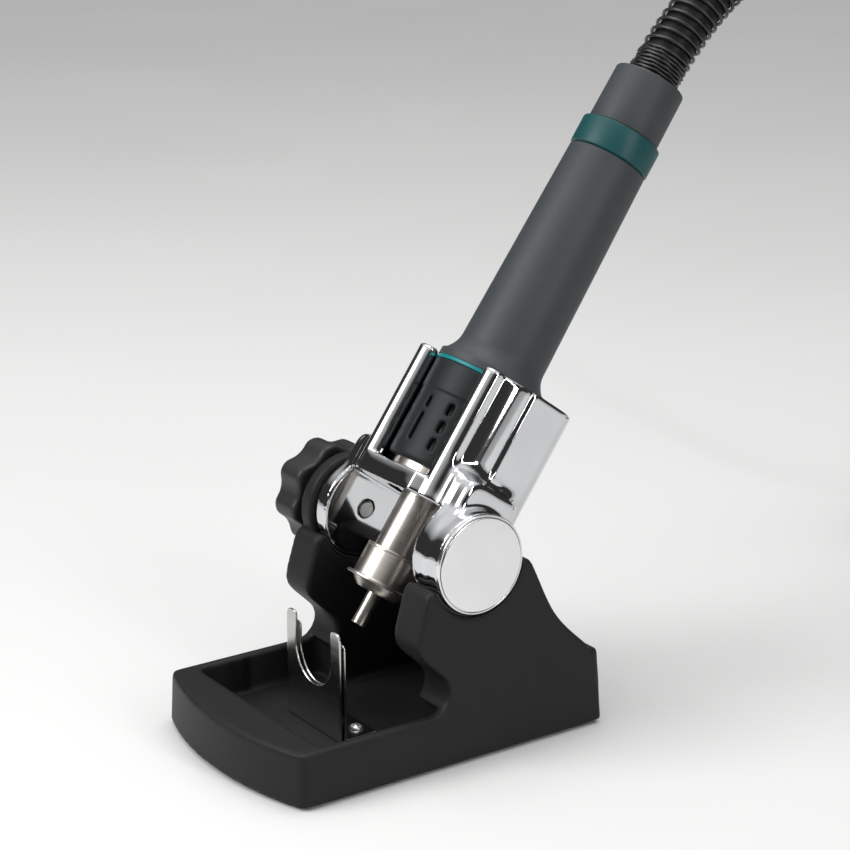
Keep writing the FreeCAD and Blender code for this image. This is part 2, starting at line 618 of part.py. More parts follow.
def turnRight(at, heading, radius, degrees):
    """An arc on the bench that turns clockwise, with its end and its new heading."""
    right = V(heading.y, -heading.x, 0)
    centre = at + right * radius

    def place(angle):
        a = math.radians(angle)
        return centre - right * (radius * math.cos(a)) + heading * (radius * math.sin(a))
    a = math.radians(degrees)
    newHeading = heading * math.cos(a) + right * math.sin(a)
    return Part.Arc(at, place(degrees / 2), place(degrees)).toShape(), place(degrees), newHeading


def makeHose():
    route = [V(*p) for p in hosePoints]
    edges = smoothPath(route)
    save("hose_tube", sweep(edges, hoseRadius))
    # spring guard over the first stretch
    inner = hoseRadius + springGap
    guard, length = [], 0.0
    for edge in edges:
        if length + edge.Length > springLength:
            break
        guard.append(edge)
        length += edge.Length
    sleeve = sweep(guard, springRadius).cut(sweep(guard, inner))
    mouth = lean(Part.makeCylinder(baseWidth, airTubeEnd, V(0, 0, springStart)))
    save("hose_spring", sleeve.cut(mouth))
    # coil on the bench, with its tail turned inside
    at = route[-1]
    heading = (route[-1] - route[-2]).normalize()
    coil = []
    for radius, turn in coilArcs:
        edge, at, heading = turnRight(at, heading, radius, turn)
        coil.append(edge)
    save("hose_coil", sweep(coil, hoseRadius))
    print("hose length", round(sum(e.Length for e in edges + coil)))
    print("hose end", [round(c, 1) for c in at], "heading", [round(c, 3) for c in heading])
    makeConnector(at, heading)


def makeConnector(start, heading):
    """The round screw connector at the hose's end, built along z and laid down."""
    nut = connectorRadius + connectorLift

    def lay(shape):
        moved = shape.copy()
        moved.rotate(V(0, 0, 0), V(0, 1, 0), 90)
        moved.rotate(V(0, 0, 0), V(0, 0, 1), math.degrees(math.atan2(heading.y, heading.x)))
        moved.translate(V(start.x, start.y, nut))
        return moved
    slim = hoseRadius - bootRelief
    boot = turned([(0, bootGap), (slim, bootGap), (slim, bootStraight),
                   (connectorRadius - bootTaper, bootLength), (0, bootLength)])
    save("connector_boot", lay(boot))
    end, bore = bootLength + connectorLength, connectorRadius - connectorWall
    body = tube(connectorRadius, bore, bootLength + shellStart, end)
    body = body.fuse(Part.makeCylinder(bore, plugThick, V(0, 0, bootLength)))
    save("connector_shell", lay(body))
    save("connector_nut", lay(tube(nut, connectorRadius + nutFit, bootLength + nutStart,
                                   end - nutEndGap)))
    pins = []
    for i in range(pinCount):
        a = 2 * math.pi * i / pinCount
        at = V(pinCircle * math.cos(a), pinCircle * math.sin(a), bootLength + pinStart)
        pins.append(Part.makeCylinder(pinRadius, pinLength, at))
    save("connector_pins", lay(Part.makeCompound(pins)))


makeStand()
makeCradle()
makeKnob()
makeNose()
makeGrip()
makeHeater()
makeNozzle()
makeHose()
for name, shape in nodes.items():
    print(name, len(shape.Solids), shape.isValid(), round(shape.Volume))
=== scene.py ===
import json
import math

import bmesh
import bpy
from mathutils import Matrix, Vector

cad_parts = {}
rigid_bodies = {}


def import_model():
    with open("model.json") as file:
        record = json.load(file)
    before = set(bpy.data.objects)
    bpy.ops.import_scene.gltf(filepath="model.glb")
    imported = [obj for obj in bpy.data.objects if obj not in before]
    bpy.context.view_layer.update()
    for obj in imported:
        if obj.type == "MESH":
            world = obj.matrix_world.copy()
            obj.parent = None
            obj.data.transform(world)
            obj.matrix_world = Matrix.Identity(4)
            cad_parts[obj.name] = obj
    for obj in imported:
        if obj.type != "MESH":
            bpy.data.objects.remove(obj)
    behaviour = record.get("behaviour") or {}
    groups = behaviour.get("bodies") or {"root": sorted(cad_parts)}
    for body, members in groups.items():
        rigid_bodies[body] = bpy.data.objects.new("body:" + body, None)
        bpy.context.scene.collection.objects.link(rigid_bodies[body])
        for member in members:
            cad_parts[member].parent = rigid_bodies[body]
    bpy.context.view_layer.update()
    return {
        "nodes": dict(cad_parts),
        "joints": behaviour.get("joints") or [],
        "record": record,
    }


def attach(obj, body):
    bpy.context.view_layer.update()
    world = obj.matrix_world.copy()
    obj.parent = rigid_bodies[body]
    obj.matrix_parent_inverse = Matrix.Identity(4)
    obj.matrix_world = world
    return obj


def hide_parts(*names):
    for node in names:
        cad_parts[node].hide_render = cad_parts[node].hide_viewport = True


for leftover in list(bpy.data.objects):
    bpy.data.objects.remove(leftover)
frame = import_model()
nodes = frame["nodes"]
mm = 0.001

# where the handle stands: its axis goes through the tilt pivot
joints = {joint["name"]: joint for joint in frame["joints"]}
pivot = Vector(joints["cradle_tilt"]["pos_m"])
axis = Vector(joints["handpiece_lift"]["axis"]).normalized()
side = Vector((1, 0, 0))
leanBack = Matrix.Translation(pivot) @ Matrix((side, axis.cross(side), axis)).transposed().to_4x4()
sideways = leanBack @ Matrix.Rotation(math.pi / 2, 4, "Y")      # for a piece turned about the tilt pivot


# a socket that can be used in sums, in materials and in Geometry Nodes
class Link:
    def __init__(self, graph, socket):
        self.graph, self.socket = graph, socket

    def sum(self, how, *values):
        return self.graph.node("ShaderNodeMath", {"operation": how}, dict(enumerate(values)))

    def __add__(self, other):
        return self.sum("ADD", self, other)

    def __radd__(self, other):
        return self.sum("ADD", other, self)

    def __sub__(self, other):
        return self.sum("SUBTRACT", self, other)

    def __rsub__(self, other):
        return self.sum("SUBTRACT", other, self)

    def __mul__(self, other):
        return self.sum("MULTIPLY", self, other)

    def __rmul__(self, other):
        return self.sum("MULTIPLY", other, self)

    def __truediv__(self, other):
        return self.sum("DIVIDE", self, other)

    def __neg__(self):
        return self.sum("MULTIPLY", self, -1.0)

    def __abs__(self):
        return self.sum("ABSOLUTE", self)

    def least(self, other):
        return self.sum("MINIMUM", self, other)

    def most(self, other):
        return self.sum("MAXIMUM", self, other)

    def soft(self, other, blend):
        return self.sum("SMOOTH_MIN", self, other, blend)   # join two solids with a fillet

    def carve(self, other, blend):
        return self.sum("SMOOTH_MAX", self, other, blend)   # what two solids share, edge rounded


class Graph:
    def __init__(self, tree):
        self.tree = tree

    def node(self, kind, settings=None, sockets=None, out=0):
        made = self.tree.nodes.new(kind)
        for name, value in (settings or {}).items():
            if name == "stops":
                ramp = made.color_ramp.elements
                while len(ramp) < len(value):
                    ramp.new(0.5)
                for stop, (place, shade) in zip(ramp, value):
                    stop.position = place
                    stop.color = (*shade, 1) if isinstance(shade, tuple) else (shade,) * 3 + (1,)
            else:
                setattr(made, name, value)
        for key, value in (sockets or {}).items():
            socket = made.inputs[key]
            if isinstance(value, Link):
                self.tree.links.new(value.socket, socket)
            elif socket.type == "RGBA" and len(value) == 3:
                socket.default_value = (*value, 1)
            else:
                socket.default_value = value
        return Link(self, made.outputs[out])

    def hypot(self, *parts):
        vector = self.node("ShaderNodeCombineXYZ", None, dict(enumerate(parts)))
        return self.node("ShaderNodeVectorMath", {"operation": "LENGTH"}, {0: vector}, "Value")


def finishPiece(obj, body, material, replaced=(), smooth=40):
    mesh = obj.data
    mesh.materials.clear()
    mesh.materials.append(material)
    if smooth:
        mesh.shade_smooth()
        mesh.set_sharp_from_angle(angle=math.radians(smooth))
    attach(obj, body)
    if replaced:
        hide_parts(*replaced)
    return obj


def meshPiece(name, points, faces):
    mesh = bpy.data.meshes.new(name)
    mesh.from_pydata([tuple(p) for p in points], [], faces)
    mesh.validate()
    obj = bpy.data.objects.new(name, mesh)
    bpy.context.scene.collection.objects.link(obj)
    return obj


def settle(obj, name):
    # the evaluated object as a plain mesh of its own
    graph = bpy.context.evaluated_depsgraph_get()
    mesh = bpy.data.meshes.new_from_object(obj.evaluated_get(graph))
    mesh.name = name
    bpy.data.objects.remove(obj)
    made = bpy.data.objects.new(name, mesh)
    bpy.context.scene.collection.objects.link(made)
    return made


def castPiece(name, shape, box, voxel, material, place=None):
    # shape(graph, x, y, z) is how far a point lies outside the solid, below 0 inside, all in mm
    tree = bpy.data.node_groups.new(name + "Tree", "GeometryNodeTree")
    tree.interface.new_socket("Geometry", in_out="OUTPUT", socket_type="NodeSocketGeometry")
    size = tree.interface.new_socket("Voxel", in_out="INPUT", socket_type="NodeSocketFloat")
    graph = Graph(tree)
    source = tree.nodes.new("NodeGroupInput")
    split = tree.nodes.new("ShaderNodeSeparateXYZ")
    tree.links.new(graph.node("GeometryNodeInputPosition").socket, split.inputs[0])
    x, y, z = (Link(graph, socket) for socket in split.outputs)
    skin = shape(graph, x, y, z) / (Link(graph, source.outputs[0]) * 6.0)
    density = graph.node("ShaderNodeClamp", None, {0: 0.5 - skin})
    low, high = box
    counts = {"Resolution " + a: round((h - l) / voxel) for a, l, h in zip("XYZ", low, high)}
    volume = graph.node("GeometryNodeVolumeCube", None,
                        {"Density": density, "Min": low, "Max": high, **counts})
    mesh = graph.node("GeometryNodeVolumeToMesh", None, {"Volume": volume, "Threshold": 0.5})
    endTree(graph, mesh, material)
    holder = meshPiece(name + "Holder", [], [])
    grow = holder.modifiers.new("grow", "NODES")
    grow.node_group = tree
    grow[size.identifier] = voxel
    made = settle(holder, name)
    made.data.transform((place or Matrix()) @ Matrix.Scale(mm, 4))
    print(name, len(made.data.polygons), "faces")
    return made


def endTree(graph, geometry, material):
    real = graph.node("GeometryNodeRealizeInstances", None, {0: geometry})
    painted = graph.node("GeometryNodeSetMaterial", None, {"Geometry": real, "Material": material})
    end = graph.tree.nodes.new("NodeGroupOutput")
    graph.tree.links.new(painted.socket, end.inputs[0])


def lathe(name, outline, frameMatrix=None, steps=128):
    # outline is (radius, height, rounding) in mm, closed, turned about z
    rows = roundCorners(outline)
    points, faces = [], []
    count = len(rows)
    for i in range(steps):
        a = 2 * math.pi * i / steps
        points += [(r * math.cos(a) * mm, r * math.sin(a) * mm, h * mm) for r, h in rows]
    for i in range(steps):
        j = (i + 1) % steps
        faces += [(i * count + k, j * count + k, j * count + (k + 1) % count, i * count + (k + 1) % count)
                  for k in range(count)]
    obj = meshPiece(name, points, faces)
    tidyMesh(obj)
    obj.data.transform(frameMatrix or leanBack)
    return obj


def tidyMesh(obj):
    work = bmesh.new()
    work.from_mesh(obj.data)
    bmesh.ops.remove_doubles(work, verts=work.verts, dist=2e-6)
    bmesh.ops.recalc_face_normals(work, faces=work.faces)
    work.to_mesh(obj.data)
    work.free()


def roundCorners(outline, share=0.49, degreesPerStep=15):
    # each corner with a rounding becomes a short arc, which takes at most a share of either side
    rows = []
    count = len(outline)
    for i, (r, h, *rounding) in enumerate(outline):
        size = rounding[0] if rounding else 0
        if not size:
            rows.append((r, h))
            continue
        here = Vector((r, h))
        before = (Vector(outline[i - 1][:2]) - here)
        after = (Vector(outline[(i + 1) % count][:2]) - here)
        half = before.angle(after) / 2
        reach = min(size / math.tan(half), before.length * share, after.length * share)
        size = reach * math.tan(half)
        a, b = here + before.normalized() * reach, here + after.normalized() * reach
        middle = here + (before.normalized() + after.normalized()).normalized() * size / math.sin(half)
        turn = (b - middle).angle_signed(a - middle)
        steps = max(2, round(abs(math.degrees(turn)) / degreesPerStep))
        for k in range(steps + 1):
            arm = (a - middle).copy()
            arm.rotate(Matrix.Rotation(turn * k / steps, 2))
            rows.append(tuple(middle + arm))
    return rows


cameraSetup = dict(eye=(0.6881, -0.4628, 0.3742), looking=(-0.7840, 0.5486, -0.2903), lens=96.3,
                   sensor=36, near=0.01)


def makeCamera():
    data = bpy.data.cameras.new("camera")
    data.lens = cameraSetup["lens"]
    data.sensor_width = cameraSetup["sensor"]
    data.clip_start = cameraSetup["near"]
    camera = bpy.data.objects.new("camera", data)
    camera.location = cameraSetup["eye"]
    camera.rotation_euler = Vector(cameraSetup["looking"]).to_track_quat("-Z", "Y").to_euler()
    bpy.context.scene.collection.objects.link(camera)
    bpy.context.scene.camera = camera
    print("camera ready")


makeCamera()


def makeMaterial(name, paint):
    material = bpy.data.materials.new(name)
    material.use_nodes = True
    tree = material.node_tree
    tree.nodes.clear()
    graph = Graph(tree)
    place = graph.node("ShaderNodeTexCoord", out="Object")
    skin = graph.node("ShaderNodeBsdfPrincipled", None, paint(graph, place))
    end = tree.nodes.new("ShaderNodeOutputMaterial")
    tree.links.new(skin.socket, end.inputs[0])
    return material


def noise(graph, place, perMetre, detail=3.0, stretch=None):
    if stretch:
        place = graph.node("ShaderNodeMapping", None, {"Vector": place, "Scale": stretch})
    return graph.node("ShaderNodeTexNoise", None,
                      {"Vector": place, "Scale": perMetre, "Detail": detail, "Roughness": 0.55})


def shade(graph, factor, dark, light, low=0.3, high=0.7):
    return graph.node("ShaderNodeValToRGB", {"stops": [(low, dark), (high, light)]}, {0: factor})


def bump(graph, height, depth, strength=1.0):
    return graph.node("ShaderNodeBump", None, {"Height": height, "Distance": depth, "Strength": strength})


def alongHandle(graph, place):
    # how far a point lies along the handle's axis, in metres
    return graph.node("ShaderNodeVectorMath", {"operation": "DOT_PRODUCT"},
                      {0: place, 1: tuple(axis)}, "Value")


def powderCoat(dark, light, rough, grains=2600, shine=0.22):
    def paint(graph, place):
        grain = noise(graph, place, grains, 4)
        cloud = noise(graph, place, 60, 3)
        return {"Base Color": shade(graph, grain * 0.7 + cloud * 0.3, dark, light),
                "Roughness": rough - 0.08 + grain * 0.16, "Specular IOR Level": shine,
                "Normal": bump(graph, grain, 0.00012, 0.5)}
    return paint


def polishedMetal(colour, rough, wave=0.00003):
    def paint(graph, place):
        cloud = noise(graph, place, 45, 3)
        haze = noise(graph, place, 900, 4)
        return {"Base Color": shade(graph, cloud, tuple(c * 0.93 for c in colour), colour),
                "Metallic": 1.0,
                "Roughness": rough + cloud * rough * 0.6 + haze * rough * 0.4,
                "Normal": bump(graph, cloud, wave, 0.6)}
    return paint


def turnedSteel(colour, rough):
    # fine rings left by the lathe
    def paint(graph, place):
        along = alongHandle(graph, place)
        spot = graph.node("ShaderNodeCombineXYZ", None, {0: along})
        rings = noise(graph, spot, 5200, 2)
        broad = noise(graph, spot, 260, 2)
        stain = noise(graph, place, 130, 3)
        dark = tuple(c * 0.78 for c in colour)
        return {"Base Color": shade(graph, rings * 0.5 + stain * 0.5, dark, colour),
                "Metallic": 1.0,
                "Roughness": rough + rings * 0.12 + broad * 0.06,
                "Normal": bump(graph, rings, 0.000012, 0.8)}
    return paint


def brushedSheet(colour, rough):
    def paint(graph, place):
        lines = noise(graph, place, 900, 3, (0.05, 1, 1))
        return {"Base Color": shade(graph, lines, tuple(c * 0.85 for c in colour), colour),
                "Metallic": 1.0, "Roughness": rough + lines * 0.1,
                "Normal": bump(graph, lines, 0.00001, 0.7)}
    return paint


def mouldedPlastic(dark, light, rough, grains=1900, depth=0.00004, shine=0.32):
    def paint(graph, place):
        grain = noise(graph, place, grains, 3)
        cloud = noise(graph, place, 35, 3)
        return {"Base Color": shade(graph, cloud * 0.6 + grain * 0.4, dark, light),
                "Roughness": rough - 0.05 + grain * 0.1, "Specular IOR Level": shine,
                "Normal": bump(graph, grain, depth, 0.5)}
    return paint


def glossWire(graph, place):
    scuff = noise(graph, place, 700, 3)
    return {"Base Color": shade(graph, scuff, (0.006, 0.006, 0.007), (0.014, 0.014, 0.015)),
            "Roughness": 0.24 + scuff * 0.14}


finishes = {
    "blackCoat": powderCoat((0.008, 0.008, 0.0087), (0.0148, 0.0148, 0.0158), 0.5),
    "chromePlate": polishedMetal((0.66, 0.67, 0.685), 0.035),
    "discChrome": polishedMetal((0.8, 0.8, 0.81), 0.12, 0.00001),
    "sheetSteel": brushedSheet((0.58, 0.57, 0.55), 0.14),
    "nozzleSteel": turnedSteel((0.64, 0.60, 0.55), 0.2),
    "screwSteel": polishedMetal((0.55, 0.55, 0.54), 0.22),
    "knobPlastic": mouldedPlastic((0.015, 0.015, 0.0165), (0.024, 0.024, 0.026), 0.42),
    "nosePlastic": mouldedPlastic((0.009, 0.0125, 0.0135), (0.0135, 0.0175, 0.0185), 0.48, shine=0.22),
    "gripRubber": mouldedPlastic((0.037, 0.042, 0.045), (0.047, 0.053, 0.057), 0.5),
    "brightTeal": mouldedPlastic((0.0, 0.17, 0.19), (0.0, 0.2, 0.22), 0.4),
    "darkTeal": mouldedPlastic((0.003, 0.052, 0.056), (0.005, 0.064, 0.068), 0.42),
    "hoseRubber": mouldedPlastic((0.004, 0.004, 0.0044), (0.008, 0.008, 0.0085), 0.45, shine=0.2),
    "springWire": glossWire,
    "liner": mouldedPlastic((0.02, 0.02, 0.022), (0.03, 0.03, 0.032), 0.5),
    "ceramic": mouldedPlastic((0.7, 0.68, 0.62), (0.8, 0.78, 0.72), 0.6),
    "mica": mouldedPlastic((0.5, 0.43, 0.31), (0.62, 0.54, 0.4), 0.4),
    "innerPlastic": mouldedPlastic((0.42, 0.42, 0.4), (0.5, 0.5, 0.48), 0.45),
    "board": mouldedPlastic((0.01, 0.13, 0.06), (0.02, 0.18, 0.08), 0.3),
    "reedGlass": mouldedPlastic((0.5, 0.62, 0.58), (0.6, 0.72, 0.68), 0.1),
    "nickel": polishedMetal((0.66, 0.65, 0.62), 0.18),
    "brass": polishedMetal((0.72, 0.55, 0.27), 0.16),
}
finishes = {name: makeMaterial(name, paint) for name, paint in finishes.items()}
print("materials", len(finishes))


# the hose, one cord from the handle to its connector
hose = dict(radius=9.3, tie=15, curveSteps=10, roundSteps=6, length=0.98,
            coil=((92, 48), (88, 108), (88, 37), (75, 107)),      # radius and degrees of each arc
            route=((0, 120.8, 233.1), (0, 149.7, 273.9), (1.5, 197, 296), (1, 249, 299), (-9, 297.5, 272),
                   (-30.5, 329, 213), (-41.5, 316.5, 140), (-48.5, 318.5, 72), (-52.5, 344.5, 31),
                   (-55.5, 387, 9.3), (-52, 430, 9.3)))


def hosePath():
    points = [Vector(p) for p in hose["route"]]
    at, heading = points[-1], (points[-1] - points[-2]).normalized()
    for radius, degrees in hose["coil"]:
        right = Vector((heading.y, -heading.x, 0))
        middle = at + right * radius
        steps = max(3, round(degrees / hose["tie"]))
        for k in range(1, steps + 1):
            a = math.radians(degrees) * k / steps
            points.append(middle - right * radius * math.cos(a) + heading * radius * math.sin(a))
        a = math.radians(degrees)
        at, heading = points[-1], heading * math.cos(a) + right * math.sin(a)
    return [p * mm for p in points]


def hoseCurve(name, bevel):
    data = bpy.data.curves.new(name, "CURVE")
    data.dimensions = "3D"
    data.resolution_u = hose["curveSteps"]
    data.bevel_depth = bevel
    data.bevel_resolution = hose["roundSteps"]
    data.use_fill_caps = bevel > 0
    points = hosePath()
    spline = data.splines.new("NURBS")
    spline.points.add(len(points) - 1)
    for point, where in zip(spline.points, points):
        point.co = (*where, 1)
    spline.order_u = 3
    spline.use_endpoint_u = True
    obj = bpy.data.objects.new(name, data)
    bpy.context.scene.collection.objects.link(obj)
    return obj


spring = dict(coil=10.3, wire=0.72, start=8.0, length=172.0, tight=15.0, tightPitch=1.52, openPitch=4.15,
              turnSteps=22, wireSides=8)


def makeSpring():
    tree = bpy.data.node_groups.new("springTree", "GeometryNodeTree")
    face = tree.interface
    face.new_socket("Geometry", in_out="OUTPUT", socket_type="NodeSocketGeometry")
    face.new_socket("Geometry", in_out="INPUT", socket_type="NodeSocketGeometry")
    for key in ("coil", "wire"):
        face.new_socket(key, in_out="INPUT", socket_type="NodeSocketFloat").default_value = spring[key] * mm
    graph = Graph(tree)
    source = tree.nodes.new("NodeGroupInput")
    path, coil, wire = (Link(graph, source.outputs[i]) for i in range(3))
    s = spring
    cut = graph.node("GeometryNodeTrimCurve", {"mode": "LENGTH"},
                     {0: path, 4: s["start"] * mm, 5: (s["start"] + s["length"]) * mm})
    turns = s["tight"] / s["tightPitch"] + (s["length"] - s["tight"]) / s["openPitch"]
    fine = graph.node("GeometryNodeResampleCurve", None,
                      {"Curve": cut, "Count": round(turns * s["turnSteps"])})
    along = graph.node("GeometryNodeSplineParameter", out="Length") * (1 / mm)
    tight = along.least(s["tight"]) / s["tightPitch"]
    turned = (tight + (along - s["tight"]).most(0.0) / s["openPitch"]) * (2 * math.pi)
    normal = graph.node("GeometryNodeInputNormal")
    tangent = graph.node("GeometryNodeInputTangent")
    across = graph.node("ShaderNodeVectorMath", {"operation": "CROSS_PRODUCT"}, {0: tangent, 1: normal})
    out = []
    for arm, wave in ((normal, "COSINE"), (across, "SINE")):
        reach = turned.sum(wave, turned) * coil
        out.append(graph.node("ShaderNodeVectorMath", {"operation": "SCALE"}, {0: arm, "Scale": reach}))
    offset = graph.node("ShaderNodeVectorMath", {"operation": "ADD"}, {0: out[0], 1: out[1]})
    moved = graph.node("GeometryNodeSetPosition", None, {"Geometry": fine, "Offset": offset})
    ring = graph.node("GeometryNodeCurvePrimitiveCircle", None,
                      {"Resolution": s["wireSides"], "Radius": wire})
    body = graph.node("GeometryNodeCurveToMesh", None,
                      {"Curve": moved, "Profile Curve": ring, "Fill Caps": True})
    endTree(graph, body, finishes["springWire"])
    guide = hoseCurve("springGuide", 0)
    guide.modifiers.new("wind", "NODES").node_group = tree
    made = settle(guide, "springGuard")
    print("spring", len(made.data.polygons), "faces")
    return finishPiece(made, "handpiece", finishes["springWire"], ["hose_spring"], 80)


def connectorPlace():
    mount = next(m for m in frame["record"]["mounts"] if m["name"] == "hose_connector")
    way = Vector(mount["axis"]).normalized()
    up = Vector((0, 0, 1))
    turn = Matrix((up.cross(way), up, way)).transposed()
    if turn.determinant() < 0:
        turn = Matrix((way.cross(up), up, way)).transposed()
    return Matrix.Translation(Vector(mount["pos_m"])) @ turn.to_4x4()


connector = dict(boot=20, shell=28, bootRadius=9.0, neck=9.4, ribs=6, ribPitch=2.2, ribDeep=0.7, radius=11,
                 nut=12.0, nutBore=11.03, nutEnds=(12, -6), grooves=48, grooveDeep=0.35)


def makeConnector():
    place = connectorPlace()
    c = connector
    start = -c["boot"] - c["shell"]
    full, neck = c["bootRadius"], c["neck"]
    deep = full - c["ribDeep"]
    boot = [(0, start + 0.1), (full, start + 0.1, 0.3)]
    for k in range(c["ribs"]):
        h = start + c["ribPitch"] + k * c["ribPitch"]
        boot += [(full, h, 0.2), (deep, h + 0.3, 0.2), (deep, h + 1.1, 0.2), (full, h + 1.4, 0.2)]
    boot += [(neck, -c["shell"], 0.4), (0, -c["shell"])]
    pieces = [finishPiece(lathe("connectorBoot", boot, place), "handpiece",
                          finishes["hoseRubber"], ["connector_boot"])]
    wide, bottom = c["radius"], -c["shell"]
    shell = [(0, bottom), (neck, bottom, 0.3), (neck, bottom + 4), (wide, bottom + 4, 0.5),
             (wide, 0, 0.5), (neck, 0, 0.3), (neck, bottom + 6), (0, bottom + 6)]
    pieces.append(finishPiece(lathe("connectorShell", shell, place), "handpiece",
                              finishes["nickel"], ["connector_shell"]))
    low, high, bore = c["nutEnds"][0] - c["shell"], c["nutEnds"][1], c["nutBore"]
    points, faces, steps = [], [], c["grooves"] * 4
    # how far out each row lies, from the bore at 0 to the knurl at 1
    rows = [(0, low), (0.55, low), (1, low + 0.8), (1, high - 0.8), (0.55, high), (0, high)]
    for i in range(steps):
        a = 2 * math.pi * i / steps
        outer = c["nut"] - (c["grooveDeep"] if i % 4 >= 2 else 0)
        for share, h in rows:
            r = bore + (outer - bore) * share
            points.append((r * math.cos(a) * mm, r * math.sin(a) * mm, h * mm))
    n = len(rows)
    for i in range(steps):
        j = (i + 1) % steps
        faces += [(i * n + k, j * n + k, j * n + (k + 1) % n, i * n + (k + 1) % n) for k in range(n)]
    nut = meshPiece("connectorNut", points, faces)
    tidyMesh(nut)
    nut.data.transform(place)
    pieces.append(finishPiece(nut, "handpiece", finishes["nickel"], ["connector_nut"], 30))
    return pieces


def makeHose():
    tube = hoseCurve("hoseTube", hose["radius"] * mm)
    tube.data.materials.append(finishes["hoseRubber"])
    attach(tube, "handpiece")
    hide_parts("hose_tube", "hose_coil")
    hosePath()[0]
    makeSpring()
    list(makeConnector())
    print("hose laid")


makeHose()


# the tilting cradle, upright about the handle's axis with z = 0 at the tilt pivot
cradle = dict(wall=29.5, bore=23.2, ledgeBore=15.2, ledge=(12.0, 20.2), top=68.0, lip=(21.2, 16.7, 4.4),
              box=(30.5, 26.5, 12.0), boxFront=-1.5, boxClear=31.0, skirt=(29.4, 21.2, 3.0), hub=19.5,
              neck=(-15.5, 12.0, 27.5), near=(29.5, 38.9, 46.0), far=(-37.8, -29.5), gusset=(20.0, 29.5),
              stud=3.06, magnet=(4.05, 20.2, 27.2, 56.0, 38.1), inner=30.5,
              room=((-41, -24, -23), (51, 30, 71)), voxel=0.75,
              rounding=dict(edge=1.8, fine=1.0, mouth=0.5, box=2.0, skirt=2.5, neckTop=9.0, neck=3.0,
                            nearSide=5.0, nearRim=0.8, farSide=2.4, gussetEnd=6.0, fillet=7.0))


def between(value, low, high):
    return (low - value).most(value - high)


def cradleShape(graph, x, y, z):
    c, rounding = cradle, cradle["rounding"]
    edge, fine = rounding["edge"], rounding["fine"]
    wide, reach, hub = abs(x), graph.hypot(x, y), graph.hypot(y, z)
    lipX, lipY, lipRadius = c["lip"]
    low, high = c["ledge"]
    slant = math.hypot(lipX, lipY)
    mouth = wide * (-lipY / slant) - y * (lipX / slant)
    lips = graph.hypot(wide - lipX, y + lipY) - lipRadius
    wall = (reach - c["wall"]).carve(mouth, rounding["mouth"]).soft(lips, fine)
    half, back, corner = c["box"]
    deep = back - corner
    dx, dy = wide - (half - corner), y - deep
    outline = graph.hypot(dx.most(0.0), dy.most(0.0)) + dx.most(dy).least(0.0) - corner
    square = outline.carve(c["boxFront"] - y, rounding["box"])
    half, clear, foot = c["skirt"]
    skirt = square.carve(wide - half, fine).carve(clear - hub, rounding["skirt"])
    skirt = skirt.carve(foot - z, rounding["box"])
    square = square.carve(c["boxClear"] - hub, fine)
    channel = wall.carve(low - z, edge).least(square.carve(low - z, edge)).least(skirt)
    ledge = (reach - c["wall"]).carve(z - high, fine).carve(low - z, edge)
    front, rear, top = c["neck"]
    plate = between(y, front, rear).carve(z - top, rounding["neckTop"]).most(-z)
    neck = plate.soft(hub - c["hub"], rounding["neck"])
    inside, side, end = c["near"]
    near = neck.carve(between(x, inside, side), rounding["nearSide"])
    rim = (hub - c["hub"]).carve(between(x, inside, end), rounding["nearRim"])
    near = near.soft(rim, rounding["neck"])
    far = neck.carve(between(x, *c["far"]), rounding["farSide"])
    corner = between(y, front, rear).carve(between(wide, *c["gusset"]), rounding["box"])
    corner = corner.carve(between(z, low, top), rounding["gussetEnd"])
    body = channel.least(ledge).soft(corner, rounding["fillet"]).soft(near.least(far), rounding["fillet"])
    body = body.carve(z - c["top"], edge)
    body = body.carve(-(reach - c["bore"]).most(high - z), edge).carve(c["ledgeBore"] - reach, edge)
    body = body.carve(-(wide - c["inner"]).most(z - low), fine)
    body = body.most(-(hub - c["stud"]).most(x))
    radius, start, end, station, turn = c["magnet"]
    s, t = math.sin(math.radians(turn)), math.cos(math.radians(turn))
    out, across = x * t + y * s, y * t - x * s
    pocket = (graph.hypot(across, z - station) - radius).most(between(out, start, end))
    return body.most(-pocket)


# the plain disc on the near hub, with a fine step inside its rim
hubDisc = dict(radius=19.45, ridge=18.75, groove=18.6, inset=18.45, face=18.4, rim=47.6, deep=0.6, high=48.0)


def makeCradle():
    c, d = cradle, hubDisc
    body = castPiece("cradleCasting", cradleShape, c["room"], c["voxel"], finishes["chromePlate"], leanBack)
    finishPiece(body, "cradle", finishes["chromePlate"], ["cradle_casting"], 50)
    low, rim, high = c["near"][2], d["rim"], d["high"]
    disc = [(0, low), (d["radius"], low), (d["radius"], rim, 0.7), (d["ridge"], rim, 0.2),
            (d["groove"], rim - d["deep"]), (d["inset"], rim - d["deep"]), (d["face"], high, 0.45), (0, high)]
    finishPiece(lathe("hubDisc", disc, sideways), "cradle", finishes["discChrome"], ["hub_cap"], 35)


makeCradle()


# the stand: a cast tray with two cheeks that carry the cradle's hubs
stand = dict(half=50.0, back=69.7, bow=(137.7, 58.6), draft=2.8, foot=1.2, rim=21.7, floor=6.0,
             tray=(44.3, -59.4, -3.3, 4.0), bay=(30.0, -49.4, 38.0), behind=(33.0, 48.5), pivot=(11.0, 78.0),
             under=(9.45, 43.9), notch=(-11.9, 30.3, 8.6), nose=((-18.3, 48.4), (-11.9, 71.2)),
             tops=(71.2, 75.4),
             rear=((35.6, 75.4), (47.3, 48.5), (65.1, 31.9)), block=(59.1, 31.4), ear=(21.0, 19.8, -38.4),
             saddle=(20.75, 29.0), spot=(9.1, -46.0), stud=3.06, overRim=1.0,
             room=((-53, -82, -1), (53, 73, 101)), voxel=0.95,
             rounding=dict(edge=2.6, corner=4.0, rear=7.0, nose=8.0, top=6.0, back=5.0, fine=2.0, floor=3.0,
                           saddle=1.6, foot=1.5))


